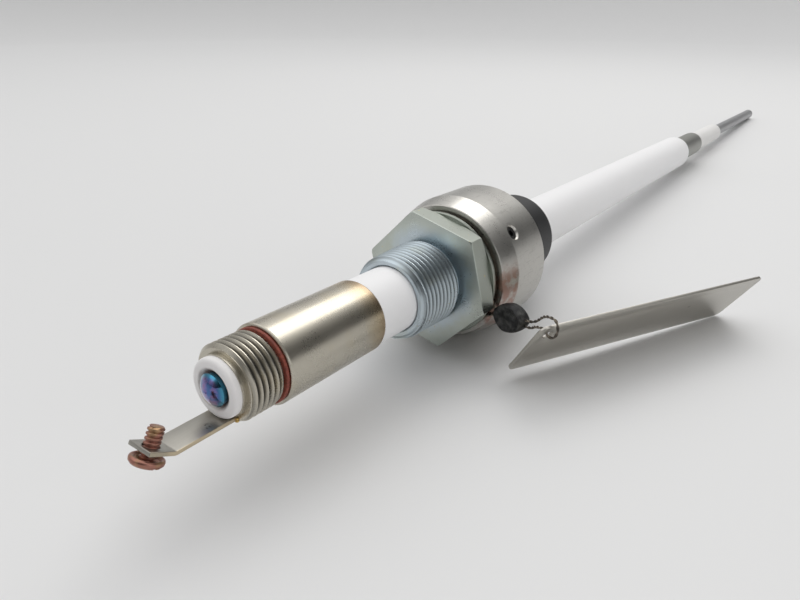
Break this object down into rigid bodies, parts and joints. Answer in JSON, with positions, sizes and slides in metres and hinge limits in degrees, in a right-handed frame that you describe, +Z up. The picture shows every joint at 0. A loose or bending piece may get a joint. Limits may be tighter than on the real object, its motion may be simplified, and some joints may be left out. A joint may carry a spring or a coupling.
{
  "type": "rod sensor probe",
  "caption": "Long guarded rod probe in white sleeves, held by a hex packing nut in a round gland, with a terminal strip, a crimped wire seal and a blank tag.",
  "frame": {"origin": "on the probe's axis, in the front face of the packing nut's hexagon", "axes": "+X along the probe's axis from the terminal end to the rod's tip, +Z up"},
  "size_m": [0.6589, 0.1069, 0.047],
  "materials": {
    "rod_steel": "drawn, heat-tinted blue and purple at the domed end",
    "sleeve_white": "matte white",
    "nose_white": "smooth matte white",
    "guard_steel": "satin",
    "head_steel": "turned satin with a golden heat tint",
    "gasket_red": "matte brick red",
    "strip_steel": "satin",
    "braze_gold": "dull gold",
    "screw_bronze": "satin copper brown",
    "nut_zinc": "blue-bright zinc plate",
    "gland_steel": "satin with fine scratches",
    "lock_screw_black": "black oxide",
    "packing_white": "matte",
    "follower_steel": "turned",
    "protector_black": "satin black",
    "wire_dark": "dull, twisted",
    "seal_lead": "dull grey lead",
    "tag_steel": "thin rolled sheet, satin"
  },
  "bodies": {
    "probe": {"centre_rod": "rod_steel", "inner_sleeve": "sleeve_white", "guard_tube": "guard_steel", "outer_sleeve": "sleeve_white", "guard_head": "head_steel", "nose_gasket": "gasket_red", "nose_insulator": "nose_white", "terminal_strip": "strip_steel", "strip_braze": "braze_gold", "gland_body": "gland_steel", "packing_ring_1": "packing_white", "packing_ring_2": "packing_white", "packing_ring_3": "packing_white", "packing_seat": "follower_steel"},
    "follower": {"packing_follower": "follower_steel"},
    "nut": {"packing_nut": "nut_zinc"},
    "screw": {"terminal_screw": "screw_bronze"},
    "lock": {"lock_screw": "lock_screw_black"},
    "protector": {"thread_protector": "protector_black"},
    "seal": {"seal_wire": "wire_dark", "lead_seal": "seal_lead", "link_wire": "wire_dark"},
    "tag": {"tag_plate": "tag_steel"}
  },
  "joints": [
    {"name": "follower_slide", "type": "slide", "parent": "probe", "child": "follower", "axis": [1, 0, 0], "range_m": [-0.0135, 0]},
    {"name": "nut_turn", "type": "hinge", "parent": "follower", "child": "nut", "pos_m": [0, 0, 0], "axis": [1, 0, 0], "range_deg": [-3240, 0]},
    {"name": "terminal_screw_slide", "type": "slide", "parent": "probe", "child": "screw", "axis": [0.4695, 0, 0.8829], "range_m": [-0.0052, 0.00105]},
    {"name": "lock_screw_slide", "type": "slide", "parent": "probe", "child": "lock", "axis": [0, -0.7859, 0.6184], "range_m": [0, 0.008]},
    {"name": "protector_slide", "type": "slide", "parent": "probe", "child": "protector", "axis": [1, 0, 0], "range_m": [0, 0.525]},
    {"name": "seal_turn", "type": "hinge", "parent": "probe", "child": "seal", "pos_m": [0.00955, 0, 0], "axis": [1, 0, 0], "continuous": true},
    {"name": "tag_swing", "type": "hinge", "parent": "seal", "child": "tag", "pos_m": [-0.00052, -0.04179, -0.00529], "axis": [-0.3656, -0.743, -0.5606], "range_deg": [-25, 20]}
  ],
  "couplings": [
    {"joint": "follower_slide", "follows": "nut_turn", "m_per_rad": 0.00023873}
  ]
}
